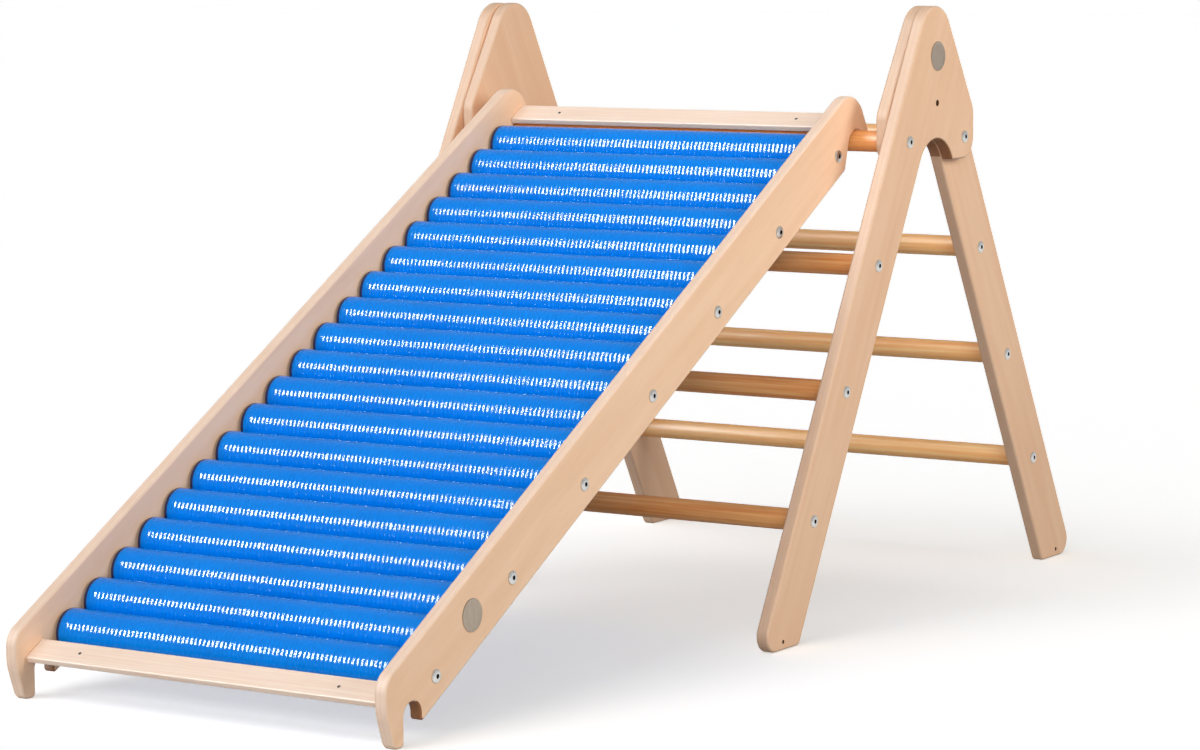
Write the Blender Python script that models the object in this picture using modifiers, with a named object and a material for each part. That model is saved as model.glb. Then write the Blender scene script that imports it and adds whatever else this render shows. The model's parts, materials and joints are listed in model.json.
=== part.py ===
"""Climbing triangle with a roller slide hooked over its front top rung.

Two ladders of round rungs lean together and stay locked, because both top bolts on each side
pass through the outer plate and the inner plate. The slide has two plywood rails, nineteen
loose rollers on their own axles and two flat slats. It hangs on the front top rung by the
hooks of its rails and stands on its feet.

Metres, +X across the slide, +Y from the slide's foot to the triangle, +Z up.
"""
import math

import bmesh
import bpy
from mathutils import Vector

# Climbing triangle, whose width follows the slide between its plates
SLIDE_SIDE_GAP = 0.0402
PLATE_THICKNESS = 0.016
LEG_WIDTH = 0.078
LEG_LENGTH = 0.6545
LEG_LEAN = math.radians(28.6)
RUNG_SPACING = 0.1643
RUNGS_PER_LADDER = 4
RUNG_DIAMETER = 0.026
TOP_RUNG_SPREAD = 0.1454
PLATE_EDGE_RADIUS = 0.003
FOOT_OUTER_RADIUS = 0.020
FOOT_INNER_RADIUS = 0.008
APEX_HEIGHT_OVER_RUNG = 0.205
APEX_RADIUS = 0.042
LOBE_RADIUS = 0.027
LOBE_SHOULDER = 0.034
LOBE_CORNER_RADIUS = 0.004
ARCH_RADIUS = 0.047
HUB_HOLE_DIAMETER = 0.008
HUB_HOLE_OVER_RUNG = 0.0446
HUB_BADGE_BELOW_APEX = 0.103
FOOT_HOLE_DIAMETER = 0.005
FOOT_HOLE_HEIGHT = 0.010

# Slide
SLIDE_WIDTH = 0.510
RAIL_THICKNESS = 0.015
RAIL_ABOVE_AXLES = 0.052
RAIL_BELOW_AXLES = 0.026
RAIL_EDGE_RADIUS = 0.003
ROLLER_COUNT = 19
ROLLER_PITCH = 0.055
ROLLER_DIAMETER = 0.052
ROLLER_WALL = 0.003
ROLLER_CAP_THICKNESS = 0.012
ROLLER_END_GAP = 0.003
AXLE_DIAMETER = 0.010
ROLLERS_PER_THROUGH_AXLE = 3
AXLE_BLIND_DEPTH = 0.010
AXLE_DROP_TO_GROUND = 0.0649

# Rail foot, with the notch that can sit over a rung
FOOT_REACH = 0.0888
FOOT_ARM_WIDTH = 0.0325
TOE_RISE = 0.040
TOE_SET_BACK = 0.014
TOE_TOP_RADIUS = 0.055
TOE_LOW_RADIUS = 0.010
FOOT_BACK_RADIUS = 0.005
FOOT_TOP_RADIUS = 0.025
NOTCH_CLEARANCE = 0.0017
NOTCH_HEIGHT = 0.045
NOTCH_MOUTH_RADIUS = 0.004

# Rail hook, whose ceiling rests on the front top rung
HOOK_PAST_LAST_AXLE = 0.050
HOOK_BELOW_AXLES = 0.0097
HOOK_ARM_WIDTH = 0.0175
HOOK_ARM_DROP = 0.0105
HOOK_TIP_RADIUS = 0.008
HOOK_HORN_RADIUS = 0.040
HOOK_FLARE_REACH = 0.012
HOOK_FLARE_RADIUS = 0.006

# Slats between the rails
SLAT_WIDTH = 0.033
SLAT_THICKNESS = 0.008
SLAT_EDGE_RADIUS = 0.0015
BOTTOM_SLAT_TO_AXLE = 0.056
BOTTOM_SLAT_OVER_AXLES = 0.0215
TOP_SLAT_TO_AXLE = 0.056
TOP_SLAT_OVER_AXLES = 0.016

# Fasteners and badges
BOLT_DIAMETER = 0.008
BOLT_GRIP = 0.030
HEAD_DIAMETER = 0.015
HEAD_HEIGHT = 0.0024
HEAD_DOME = 0.0008
HEAD_CROWN_SHARE = 0.6
BADGE_DIAMETER = 0.036
BADGE_THICKNESS = 0.001
BADGE_TO_AXLE = 0.0848

# Clearances and fineness
SEAT_GAP = 0.0003
BORE_CLEARANCE = 0.0004
CUT_OVERRUN = 0.005
ARC_TOLERANCE = 0.0004
MERGE_DISTANCE = 0.00001
ROLLER_SIDES = 16
RUNG_SIDES = 24
FASTENER_SIDES = 12
EDGE_SEGMENTS = 2
SHARP_ANGLE = math.radians(40)

PLATE_EULER = (math.radians(90), 0, math.radians(90))
AXIS_EULER = (0, math.radians(90), 0)

# Places worked out from the sizes above
TRIANGLE_WIDTH = SLIDE_WIDTH + 2 * (SLIDE_SIDE_GAP + 2 * PLATE_THICKNESS + SEAT_GAP)
RUNG_RADIUS = RUNG_DIAMETER / 2
AXLE_RADIUS = AXLE_DIAMETER / 2
TOP_RUNG_HEIGHT = LEG_LENGTH * math.cos(LEG_LEAN)
OUTER_PLATE_X = TRIANGLE_WIDTH / 2 - PLATE_THICKNESS / 2
INNER_PLATE_X = OUTER_PLATE_X - PLATE_THICKNESS - SEAT_GAP
OUTER_PLATE_INSIDE = OUTER_PLATE_X - PLATE_THICKNESS / 2
INNER_PLATE_INSIDE = INNER_PLATE_X - PLATE_THICKNESS / 2
RAIL_X = SLIDE_WIDTH / 2 - RAIL_THICKNESS / 2
RAIL_OUTSIDE = SLIDE_WIDTH / 2
RAIL_INSIDE = SLIDE_WIDTH / 2 - RAIL_THICKNESS
LAST_AXLE_ALONG = (ROLLER_COUNT - 1) * ROLLER_PITCH
HOOK_ALONG = LAST_AXLE_ALONG + HOOK_PAST_LAST_AXLE
HOOK_DISTANCE = math.hypot(HOOK_ALONG, HOOK_BELOW_AXLES)
SLOPE = (math.asin((TOP_RUNG_HEIGHT - AXLE_DROP_TO_GROUND) / HOOK_DISTANCE)
         + math.atan2(HOOK_BELOW_AXLES, HOOK_ALONG))
SLOPE_DIRECTION = Vector((math.cos(SLOPE), math.sin(SLOPE)))
SLOPE_NORMAL = Vector((-math.sin(SLOPE), math.cos(SLOPE)))
HOOK_FROM_AXLE = SLOPE_DIRECTION * HOOK_ALONG - SLOPE_NORMAL * HOOK_BELOW_AXLES
REAR_FOOT_REACH = ((LEG_WIDTH / 2 - FOOT_OUTER_RADIUS) / math.cos(LEG_LEAN)
                   + (TOP_RUNG_HEIGHT - FOOT_OUTER_RADIUS) * math.tan(LEG_LEAN) + FOOT_OUTER_RADIUS)
TOTAL_LENGTH = FOOT_REACH + HOOK_FROM_AXLE.x + TOP_RUNG_SPREAD + REAR_FOOT_REACH
FIRST_AXLE = Vector((FOOT_REACH - TOTAL_LENGTH / 2, AXLE_DROP_TO_GROUND))
FRONT_TOP_RUNG = FIRST_AXLE + HOOK_FROM_AXLE
HUB_Y = FRONT_TOP_RUNG.x + TOP_RUNG_SPREAD / 2


def on_slope(along, over):
    """Return the (y, z) place at a distance along the row of axles and square over it."""
    return FIRST_AXLE + SLOPE_DIRECTION * along + SLOPE_NORMAL * over


def meeting_point(point_a, direction_a, point_b, direction_b):
    """Return where two straight lines in the (y, z) plane meet."""
    determinant = direction_a.x * direction_b.y - direction_a.y * direction_b.x
    between = point_b - point_a
    distance = (between.x * direction_b.y - between.y * direction_b.x) / determinant
    return point_a + direction_a * distance


def rounded_corner(before, corner, after, radius):
    """Return the points of an arc of the radius that rounds the corner."""
    to_before = (before - corner).normalized()
    to_after = (after - corner).normalized()
    half_angle = to_before.angle(to_after) / 2
    bisector = (to_before + to_after).normalized()
    centre = corner + bisector * (radius / math.sin(half_angle))
    start = corner + to_before * (radius / math.tan(half_angle)) - centre
    finish = corner + to_after * (radius / math.tan(half_angle)) - centre
    sweep = start.angle(finish)
    turn = 1 if start.x * finish.y - start.y * finish.x > 0 else -1
    step = 2 * math.acos(1 - ARC_TOLERANCE / radius)
    steps = max(2, math.ceil(sweep / step))
    first = math.atan2(start.y, start.x)
    angles = [first + turn * sweep * index / steps for index in range(steps + 1)]
    return [centre + Vector((math.cos(angle), math.sin(angle))) * radius for angle in angles]


def rounded_outline(corners):
    """Return the closed outline through (place, radius) corners, each one rounded."""
    points = []
    count = len(corners)
    for index, (corner, radius) in enumerate(corners):
        before = corners[index - 1][0]
        after = corners[(index + 1) % count][0]
        points.extend(rounded_corner(before, corner, after, radius))
    return points


def plate_outline():
    """Return a triangle plate's outline: one leg and the hub, round the hub's centre line."""
    down_leg = Vector((-math.sin(LEG_LEAN), -math.cos(LEG_LEAN)))
    down_mirrored = Vector((math.sin(LEG_LEAN), -math.cos(LEG_LEAN)))
    half_span = TOP_RUNG_SPREAD / 2
    half_leg_level = LEG_WIDTH / 2 / math.cos(LEG_LEAN)
    rung = Vector((-half_span, TOP_RUNG_HEIGHT))
    outer_edge = rung - Vector((half_leg_level, 0))
    inner_edge = rung + Vector((half_leg_level, 0))
    other_inner_edge = Vector((-inner_edge.x, inner_edge.y))
    level = Vector((1, 0))
    ground = Vector((0, 0))
    lobe_low = Vector((half_span, TOP_RUNG_HEIGHT - LOBE_RADIUS))
    lobe_side = half_span + LOBE_RADIUS
    apex_level = Vector((0, TOP_RUNG_HEIGHT + APEX_HEIGHT_OVER_RUNG))
    return rounded_outline([
        (meeting_point(outer_edge, down_leg, ground, level), FOOT_OUTER_RADIUS),
        (meeting_point(inner_edge, down_leg, ground, level), FOOT_INNER_RADIUS),
        (meeting_point(inner_edge, down_leg, other_inner_edge, down_mirrored), ARCH_RADIUS),
        (meeting_point(other_inner_edge, down_mirrored, lobe_low, level), LOBE_CORNER_RADIUS),
        (Vector((lobe_side, lobe_low.y)), LOBE_RADIUS),
        (Vector((lobe_side, TOP_RUNG_HEIGHT + LOBE_SHOULDER)), LOBE_RADIUS),
        (meeting_point(outer_edge, down_leg, apex_level, level), APEX_RADIUS),
    ])


def rail_outline():
    """Return a rail's outline in (y, z): foot arm, notch, long rail and hook."""
    upright = Vector((0, 1))
    foot_front = FIRST_AXLE.x - FOOT_REACH
    notch_radius = RUNG_RADIUS + NOTCH_CLEARANCE
    notch_front = foot_front + FOOT_ARM_WIDTH
    notch_back = notch_front + 2 * notch_radius
    low_edge = on_slope(0, -RAIL_BELOW_AXLES)
    high_edge = on_slope(0, RAIL_ABOVE_AXLES)
    ceiling = RUNG_RADIUS + SEAT_GAP - HOOK_BELOW_AXLES
    arm_inside = HOOK_ALONG + notch_radius
    arm_outside = arm_inside + HOOK_ARM_WIDTH
    arm_low = -HOOK_BELOW_AXLES - HOOK_ARM_DROP
    flare_top = HOOK_ALONG - HOOK_FLARE_REACH
    flare_start = flare_top - (ceiling + RAIL_BELOW_AXLES)
    return rounded_outline([
        (Vector((foot_front, TOE_RISE)), TOE_TOP_RADIUS),
        (Vector((foot_front + TOE_SET_BACK, 0)), TOE_LOW_RADIUS),
        (Vector((notch_front, 0)), FOOT_BACK_RADIUS),
        (Vector((notch_front, NOTCH_HEIGHT)), notch_radius),
        (Vector((notch_back, NOTCH_HEIGHT)), notch_radius),
        (meeting_point(Vector((notch_back, 0)), upright, low_edge, SLOPE_DIRECTION), NOTCH_MOUTH_RADIUS),
        (on_slope(flare_start, -RAIL_BELOW_AXLES), HOOK_FLARE_RADIUS),
        (on_slope(flare_top, ceiling), notch_radius),
        (on_slope(arm_inside, ceiling), notch_radius),
        (on_slope(arm_inside, arm_low), HOOK_TIP_RADIUS),
        (on_slope(arm_outside, arm_low), HOOK_TIP_RADIUS),
        (on_slope(arm_outside, RAIL_ABOVE_AXLES), HOOK_HORN_RADIUS),
        (meeting_point(Vector((foot_front, 0)), upright, high_edge, SLOPE_DIRECTION), FOOT_TOP_RADIUS),
    ])


def clear_scene():
    """Remove every object, so that the script gives the same result each run."""
    for old in list(bpy.data.objects):
        bpy.data.objects.remove(old, do_unlink=True)


def make_material(name, colour, roughness, metallic=0.0):
    """Return a Principled material."""
    material = bpy.data.materials.new(name)
    material.use_nodes = True
    shader = material.node_tree.nodes["Principled BSDF"]
    shader.inputs["Base Color"].default_value = (*colour, 1.0)
    shader.inputs["Roughness"].default_value = roughness
    shader.inputs["Metallic"].default_value = metallic
    return material


def add_object(name, mesh, collection, location, parent=None, euler=(0, 0, 0)):
    """Link a new object for the mesh, placed in world coordinates."""
    piece = bpy.data.objects.new(name, mesh)
    collection.objects.link(piece)
    piece.rotation_euler = euler
    piece.location = Vector(location)
    if parent:
        piece.parent = parent
        piece.location = Vector(location) - parent.location
    return piece


def paint(piece, material):
    """Give the piece its material."""
    piece.data.materials.clear()
    piece.data.materials.append(material)
    return piece


def outline_mesh(name, outline, origin, thickness):
    """Return the mesh of a flat plate, from a filled curve through the outline."""
    curve = bpy.data.curves.new(name, "CURVE")
    curve.dimensions = "2D"
    curve.fill_mode = "BOTH"
    curve.extrude = thickness / 2
    spline = curve.splines.new("POLY")
    spline.points.add(len(outline) - 1)
    spline.use_cyclic_u = True
    for point, place in zip(spline.points, outline):
        point.co = (place.x - origin.x, place.y - origin.y, 0, 1)
    guide = bpy.data.objects.new(name, curve)
    bpy.context.scene.collection.objects.link(guide)
    evaluated = guide.evaluated_get(bpy.context.evaluated_depsgraph_get())
    mesh = bpy.data.meshes.new_from_object(evaluated)
    bpy.data.objects.remove(guide)
    sheet = bmesh.new()
    sheet.from_mesh(mesh)
    bmesh.ops.remove_doubles(sheet, verts=sheet.verts, dist=MERGE_DISTANCE)
    bmesh.ops.dissolve_limit(sheet, angle_limit=math.radians(1), verts=sheet.verts, edges=sheet.edges)
    bmesh.ops.recalc_face_normals(sheet, faces=sheet.faces)
    sheet.to_mesh(mesh)
    sheet.free()
    return mesh


def round_edges(piece, radius):
    """Round the piece's sharp edges."""
    bevel = piece.modifiers.new("rounded_edges", "BEVEL")
    bevel.width = radius
    bevel.segments = EDGE_SEGMENTS
    bevel.limit_method = "ANGLE"
    bevel.angle_limit = math.radians(60)
    return bevel


def cylinders_mesh(name, bores, sides):
    """Return one mesh of cylinders along X, each given as (centre, radius, length)."""
    mesh = bpy.data.meshes.new(name)
    solid = bmesh.new()
    for centre, radius, length in bores:
        made = bmesh.ops.create_cone(solid, cap_ends=True, segments=sides,
                                     radius1=radius, radius2=radius, depth=length)
        bmesh.ops.rotate(solid, verts=made["verts"], cent=(0, 0, 0),
                         matrix=Vector((0, 0, 1)).rotation_difference(Vector((1, 0, 0))).to_matrix())
        bmesh.ops.translate(solid, verts=made["verts"], vec=Vector(centre))
    solid.to_mesh(mesh)
    solid.free()
    return mesh


def cut_bores(piece, bores, cutters):
    """Cut cylinders along X out of the piece, given in world coordinates."""
    name = piece.name + "_bores"
    cutter = add_object(name, cylinders_mesh(name, bores, FASTENER_SIDES), cutters, (0, 0, 0))
    cutter.hide_render = True
    cutter.display_type = "WIRE"
    cut = piece.modifiers.new("bores", "BOOLEAN")
    cut.operation = "DIFFERENCE"
    cut.solver = "EXACT"
    cut.object = cutter


def turned_mesh(name, profile):
    """Return a profile of (x, radius) points for turning about the X axis."""
    mesh = bpy.data.meshes.new(name)
    wire = bmesh.new()
    corners = [wire.verts.new((along, radius, 0)) for along, radius in profile]
    for first, second in zip(corners, corners[1:]):
        wire.edges.new((first, second))
    if profile[0][1] > 0:
        wire.edges.new((corners[-1], corners[0]))
    wire.to_mesh(mesh)
    wire.free()
    return mesh


def turn(piece, sides):
    """Turn the piece's profile about its X axis."""
    screw = piece.modifiers.new("turned", "SCREW")
    screw.axis = "X"
    screw.steps = sides
    screw.render_steps = sides
    screw.use_merge_vertices = True
    screw.merge_threshold = MERGE_DISTANCE


def rung(name, place, inside, collection, material):
    """Make a round rung that fits between two plates' inner faces."""
    length = 2 * (inside - SEAT_GAP)
    mesh = cylinders_mesh(name, [((0, 0, 0), RUNG_RADIUS, length)], RUNG_SIDES)
    mesh.shade_smooth()
    mesh.set_sharp_from_angle(angle=SHARP_ANGLE)
    return paint(add_object(name, mesh, collection, (0, place.x, place.y)), material)


def head_profile(face, outward):
    """Return a domed bolt head's (x, radius) points, from its crown down to its seat."""
    seat = face + outward * SEAT_GAP
    rim = seat + outward * (HEAD_HEIGHT - HEAD_DOME)
    crown = seat + outward * HEAD_HEIGHT
    radius = HEAD_DIAMETER / 2
    return [(crown, 0), (crown, radius * HEAD_CROWN_SHARE), (rim, radius), (seat, radius)]


def build_triangle(parts, cutters, materials):
    """Make the plates, rungs, hub bolts and badge of the climbing triangle."""
    outline = plate_outline()
    mirrored = [Vector((-place.x, place.y)) for place in outline]
    down_front = Vector((-math.sin(LEG_LEAN), -math.cos(LEG_LEAN)))
    down_rear = Vector((-down_front.x, down_front.y))
    rear_top_rung = FRONT_TOP_RUNG + Vector((TOP_RUNG_SPREAD, 0))
    bolt_bore = BOLT_DIAMETER / 2 + BORE_CLEARANCE
    bore_length = PLATE_THICKNESS + 2 * CUT_OVERRUN
    hole_height = HUB_HOLE_OVER_RUNG + TOP_RUNG_HEIGHT
    foot_hole_down = (TOP_RUNG_HEIGHT - FOOT_HOLE_HEIGHT) / math.cos(LEG_LEAN)

    ladders = (
        ("front", outline, OUTER_PLATE_X, FRONT_TOP_RUNG, down_front),
        ("rear", mirrored, INNER_PLATE_X, rear_top_rung, down_rear),
    )
    for ladder, shape, plate_x, top_rung, down in ladders:
        foot_hole = top_rung + down * foot_hole_down
        for side, sign in (("left", -1), ("right", 1)):
            name = f"{ladder}_leg_plate_{side}"
            mesh = outline_mesh(name, shape, Vector((0, 0)), PLATE_THICKNESS)
            plate = add_object(name, mesh, parts, (sign * plate_x, HUB_Y, 0), euler=PLATE_EULER)
            round_edges(paint(plate, materials["birch_plywood"]), PLATE_EDGE_RADIUS)
            centre_x = sign * plate_x
            cut_bores(plate, [
                ((centre_x, FRONT_TOP_RUNG.x, FRONT_TOP_RUNG.y), bolt_bore, bore_length),
                ((centre_x, rear_top_rung.x, rear_top_rung.y), bolt_bore, bore_length),
                ((centre_x, HUB_Y, hole_height), HUB_HOLE_DIAMETER / 2, bore_length),
                ((centre_x, foot_hole.x, foot_hole.y), FOOT_HOLE_DIAMETER / 2, bore_length),
            ], cutters)
        for index in range(RUNGS_PER_LADDER):
            is_top = index == 0
            inside = OUTER_PLATE_INSIDE if ladder == "front" and not is_top else INNER_PLATE_INSIDE
            place = top_rung + down * (RUNG_SPACING * index)
            bar = rung(f"{ladder}_rung_{index + 1}", place, inside, parts, materials["pine"])
            if is_top:
                depth = BOLT_GRIP + SEAT_GAP
                bore_x = inside - depth / 2 + CUT_OVERRUN / 2
                cut_bores(bar, [
                    ((sign * bore_x, place.x, place.y), bolt_bore, depth + CUT_OVERRUN)
                    for sign in (-1, 1)
                ], cutters)
        for side, sign in (("left", -1), ("right", 1)):
            face = TRIANGLE_WIDTH / 2
            tip = INNER_PLATE_INSIDE - BOLT_GRIP
            profile = head_profile(face, 1)
            profile += [(face + SEAT_GAP, BOLT_DIAMETER / 2), (tip, BOLT_DIAMETER / 2), (tip, 0)]
            name = f"{ladder}_hub_bolt_{side}"
            euler = (0, 0, 0) if sign > 0 else (0, 0, math.radians(180))
            bolt = add_object(name, turned_mesh(name, profile), parts,
                              (0, top_rung.x, top_rung.y), euler=euler)
            turn(paint(bolt, materials["steel"]), FASTENER_SIDES)

    badge_x = TRIANGLE_WIDTH / 2 + SEAT_GAP + BADGE_THICKNESS / 2
    badge_height = TOP_RUNG_HEIGHT + APEX_HEIGHT_OVER_RUNG - HUB_BADGE_BELOW_APEX
    mesh = cylinders_mesh("hub_badge", [((0, 0, 0), BADGE_DIAMETER / 2, BADGE_THICKNESS)], RUNG_SIDES)
    badge = add_object("hub_badge", mesh, parts, (badge_x, HUB_Y, badge_height))
    paint(badge, materials["steel"])


def axle_is_through(index):
    """Every third axle is a bolt through both rails, with a head on each side."""
    return index % ROLLERS_PER_THROUGH_AXLE == 0


def axle_profile(index):
    """Return an axle's (x, radius) points."""
    if axle_is_through(index):
        right = head_profile(RAIL_OUTSIDE, 1) + [(RAIL_OUTSIDE + SEAT_GAP, AXLE_RADIUS)]
    else:
        end = RAIL_INSIDE + AXLE_BLIND_DEPTH
        right = [(end, 0), (end, AXLE_RADIUS)]
    return right + [(-along, radius) for along, radius in reversed(right)]


def roller_profile():
    """Return a hollow roller's (x, radius) points: tube, end caps and their bores."""
    end = RAIL_INSIDE - ROLLER_END_GAP
    cap = end - ROLLER_CAP_THICKNESS
    outer = ROLLER_DIAMETER / 2
    cavity = outer - ROLLER_WALL
    bore = AXLE_RADIUS + BORE_CLEARANCE
    right = [(cap, cavity), (cap, bore), (end, bore), (end, outer)]
    return right + [(-along, radius) for along, radius in reversed(right)]


def build_slide(parts, cutters, materials):
    """Make the rails, slats, axles, rollers and badge, carried by a pivot on the hooked rung."""
    pivot = bpy.data.objects.new("slide_pivot", None)
    parts.objects.link(pivot)
    pivot.location = (0, FRONT_TOP_RUNG.x, FRONT_TOP_RUNG.y)

    axle_places = [on_slope(ROLLER_PITCH * index, 0) for index in range(ROLLER_COUNT)]
    bore_radius = AXLE_RADIUS + BORE_CLEARANCE
    outline = rail_outline()
    for side, sign in (("left", -1), ("right", 1)):
        name = f"slide_rail_{side}"
        mesh = outline_mesh(name, outline, FRONT_TOP_RUNG, RAIL_THICKNESS)
        rail = add_object(name, mesh, parts, (sign * RAIL_X, FRONT_TOP_RUNG.x, FRONT_TOP_RUNG.y),
                          pivot, PLATE_EULER)
        round_edges(paint(rail, materials["birch_plywood"]), RAIL_EDGE_RADIUS)
        bores = []
        for index, place in enumerate(axle_places):
            near = RAIL_INSIDE - CUT_OVERRUN
            far = RAIL_INSIDE + AXLE_BLIND_DEPTH + SEAT_GAP
            if axle_is_through(index):
                far = RAIL_OUTSIDE + CUT_OVERRUN
            bores.append(((sign * (near + far) / 2, place.x, place.y), bore_radius, far - near))
        cut_bores(rail, bores, cutters)

    slats = (
        ("bottom_slat", -BOTTOM_SLAT_TO_AXLE, BOTTOM_SLAT_OVER_AXLES),
        ("top_slat", LAST_AXLE_ALONG + TOP_SLAT_TO_AXLE, TOP_SLAT_OVER_AXLES),
    )
    for name, along, over in slats:
        mesh = bpy.data.meshes.new(name)
        board = bmesh.new()
        bmesh.ops.create_cube(board, size=1)
        bmesh.ops.scale(board, verts=board.verts,
                        vec=(2 * (RAIL_INSIDE - SEAT_GAP), SLAT_WIDTH, SLAT_THICKNESS))
        board.to_mesh(mesh)
        board.free()
        place = on_slope(along, over - SLAT_THICKNESS / 2)
        slat = add_object(name, mesh, parts, (0, place.x, place.y), pivot, (SLOPE, 0, 0))
        round_edges(paint(slat, materials["pale_beech"]), SLAT_EDGE_RADIUS)

    for index, place in enumerate(axle_places):
        location = (0, place.x, place.y)
        name = f"axle_{index + 1:02d}"
        axle = add_object(name, turned_mesh(name, axle_profile(index)), parts, location, pivot)
        turn(paint(axle, materials["steel"]), FASTENER_SIDES)
        name = f"roller_{index + 1:02d}"
        roller = add_object(name, turned_mesh(name, roller_profile()), parts, location, pivot)
        turn(paint(roller, materials["blue_plastic"]), ROLLER_SIDES)

    rail_middle = (RAIL_ABOVE_AXLES - RAIL_BELOW_AXLES) / 2
    place = on_slope(BADGE_TO_AXLE, rail_middle)
    badge_x = RAIL_OUTSIDE + SEAT_GAP + BADGE_THICKNESS / 2
    mesh = cylinders_mesh("rail_badge", [((0, 0, 0), BADGE_DIAMETER / 2, BADGE_THICKNESS)], RUNG_SIDES)
    badge = add_object("rail_badge", mesh, parts, (badge_x, place.x, place.y), pivot)
    paint(badge, materials["steel"])


def main():
    clear_scene()
    parts = bpy.data.collections.new("climbing_triangle_with_slide")
    cutters = bpy.data.collections.new("cutters")
    bpy.context.scene.collection.children.link(parts)
    bpy.context.scene.collection.children.link(cutters)
    materials = {
        "birch_plywood": make_material("birch_plywood", (0.72, 0.50, 0.33), 0.45),
        "pale_beech": make_material("pale_beech", (0.86, 0.72, 0.55), 0.4),
        "pine": make_material("pine", (0.66, 0.40, 0.20), 0.45),
        "blue_plastic": make_material("blue_plastic", (0.0, 0.16, 0.85), 0.2),
        "steel": make_material("steel", (0.62, 0.62, 0.62), 0.3, 1.0),
    }
    build_triangle(parts, cutters, materials)
    build_slide(parts, cutters, materials)


main()
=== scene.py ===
# %% [markdown]
# # A climbing triangle with a roller slide
# Two birch plywood ladders lean together, and a slide of plywood rails and blue rollers hooks
# over the front top rung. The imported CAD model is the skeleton: each dressed piece below takes
# the place of one CAD solid, and reads its place from that solid's box.

import json
import math

import bmesh
import bpy
from mathutils import Matrix, Vector

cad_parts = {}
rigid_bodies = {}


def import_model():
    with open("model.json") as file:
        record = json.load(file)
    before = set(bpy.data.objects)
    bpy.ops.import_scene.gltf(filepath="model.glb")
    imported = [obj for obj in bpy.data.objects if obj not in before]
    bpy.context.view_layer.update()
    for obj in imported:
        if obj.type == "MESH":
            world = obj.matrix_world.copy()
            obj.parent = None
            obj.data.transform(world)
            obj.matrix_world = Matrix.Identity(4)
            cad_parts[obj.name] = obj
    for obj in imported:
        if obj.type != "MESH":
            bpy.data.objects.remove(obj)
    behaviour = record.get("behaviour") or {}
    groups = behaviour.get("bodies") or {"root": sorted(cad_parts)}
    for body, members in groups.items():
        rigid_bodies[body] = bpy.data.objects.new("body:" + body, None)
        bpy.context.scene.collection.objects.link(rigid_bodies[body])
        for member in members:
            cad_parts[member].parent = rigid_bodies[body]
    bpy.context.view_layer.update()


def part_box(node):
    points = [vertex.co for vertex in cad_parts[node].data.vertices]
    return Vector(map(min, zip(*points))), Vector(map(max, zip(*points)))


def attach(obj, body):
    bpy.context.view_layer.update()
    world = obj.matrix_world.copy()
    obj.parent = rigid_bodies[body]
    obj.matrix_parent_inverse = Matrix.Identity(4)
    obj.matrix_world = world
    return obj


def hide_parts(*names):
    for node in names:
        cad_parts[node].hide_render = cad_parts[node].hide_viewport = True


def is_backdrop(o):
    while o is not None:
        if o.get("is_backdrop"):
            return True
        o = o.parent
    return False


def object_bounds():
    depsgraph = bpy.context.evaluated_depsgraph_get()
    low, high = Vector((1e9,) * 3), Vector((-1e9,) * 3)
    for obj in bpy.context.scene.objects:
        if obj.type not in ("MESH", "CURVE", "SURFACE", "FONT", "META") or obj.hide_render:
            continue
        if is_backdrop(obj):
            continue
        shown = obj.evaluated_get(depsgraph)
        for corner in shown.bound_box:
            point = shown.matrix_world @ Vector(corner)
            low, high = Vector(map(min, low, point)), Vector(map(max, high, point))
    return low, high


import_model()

# %% Where the rungs and rollers are
def middle(node):
    """Return the centre of a CAD node's box."""
    low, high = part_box(node)
    return (low + high) / 2


FRONT_TOP = middle("front_rung_1")
REAR_TOP = middle("rear_rung_1")
FIRST_AXLE = middle("axle_01")
LAST_AXLE = middle("axle_19")
HUB = (FRONT_TOP + REAR_TOP) / 2
RUNG_RADIUS = 0.013
ALONG_SLIDE = (LAST_AXLE - FIRST_AXLE).normalized()
OVER_SLIDE = Vector((0, -ALONG_SLIDE.z, ALONG_SLIDE.y))
slope = math.atan2(ALONG_SLIDE.z, ALONG_SLIDE.y)
print("slide slope in degrees:", round(math.degrees(slope), 2))

# %% [markdown]
# ## Camera
# A product photograph like this is taken from far away with a long lens, so that the sides
# stay nearly parallel. The camera could be aimed by a constraint, but three direction vectors
# say exactly how it stands: back towards the photographer, right, and up, with a small roll.

# %% Long lens from the right front
CAMERA_AZIMUTH = math.radians(32.505)
CAMERA_ELEVATION = math.radians(6.732)
CAMERA_ROLL = math.radians(-0.2805)
CAMERA_DISTANCE = 4.5955
CAMERA_TARGET = FIRST_AXLE + Vector((0, 0.71965, 0.2254))
FOCAL_LENGTH, SENSOR_WIDTH = 112.46, 36

back = Vector((math.sin(CAMERA_AZIMUTH) * math.cos(CAMERA_ELEVATION),
               -math.cos(CAMERA_AZIMUTH) * math.cos(CAMERA_ELEVATION),
               math.sin(CAMERA_ELEVATION)))
level_right = Vector((0, 0, 1)).cross(back).normalized()
roll = Matrix.Rotation(CAMERA_ROLL, 3, back)
right = roll @ level_right
up = back.cross(right)

lens = bpy.data.cameras.new("long_lens")
lens.lens = FOCAL_LENGTH
lens.sensor_width = SENSOR_WIDTH
lens.clip_end = 100
camera = bpy.data.objects.new("camera", lens)
bpy.context.scene.collection.objects.link(camera)
camera.matrix_world = Matrix.Translation(CAMERA_TARGET + back * CAMERA_DISTANCE) @ Matrix(
    (right, up, back)).transposed().to_4x4()
bpy.context.scene.camera = camera
bpy.context.scene.view_settings.view_transform = "Standard"
print("camera stands at", [round(value, 3) for value in camera.location])

# %% [markdown]
# ## Colours and nodes
# Colours are written the way a painter picks them, as sRGB hex codes, and Blender wants linear
# light, so one function turns one into the other. A second small function adds a shader node,
# fills its sockets and links it, which keeps each material readable from top to bottom.

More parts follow.
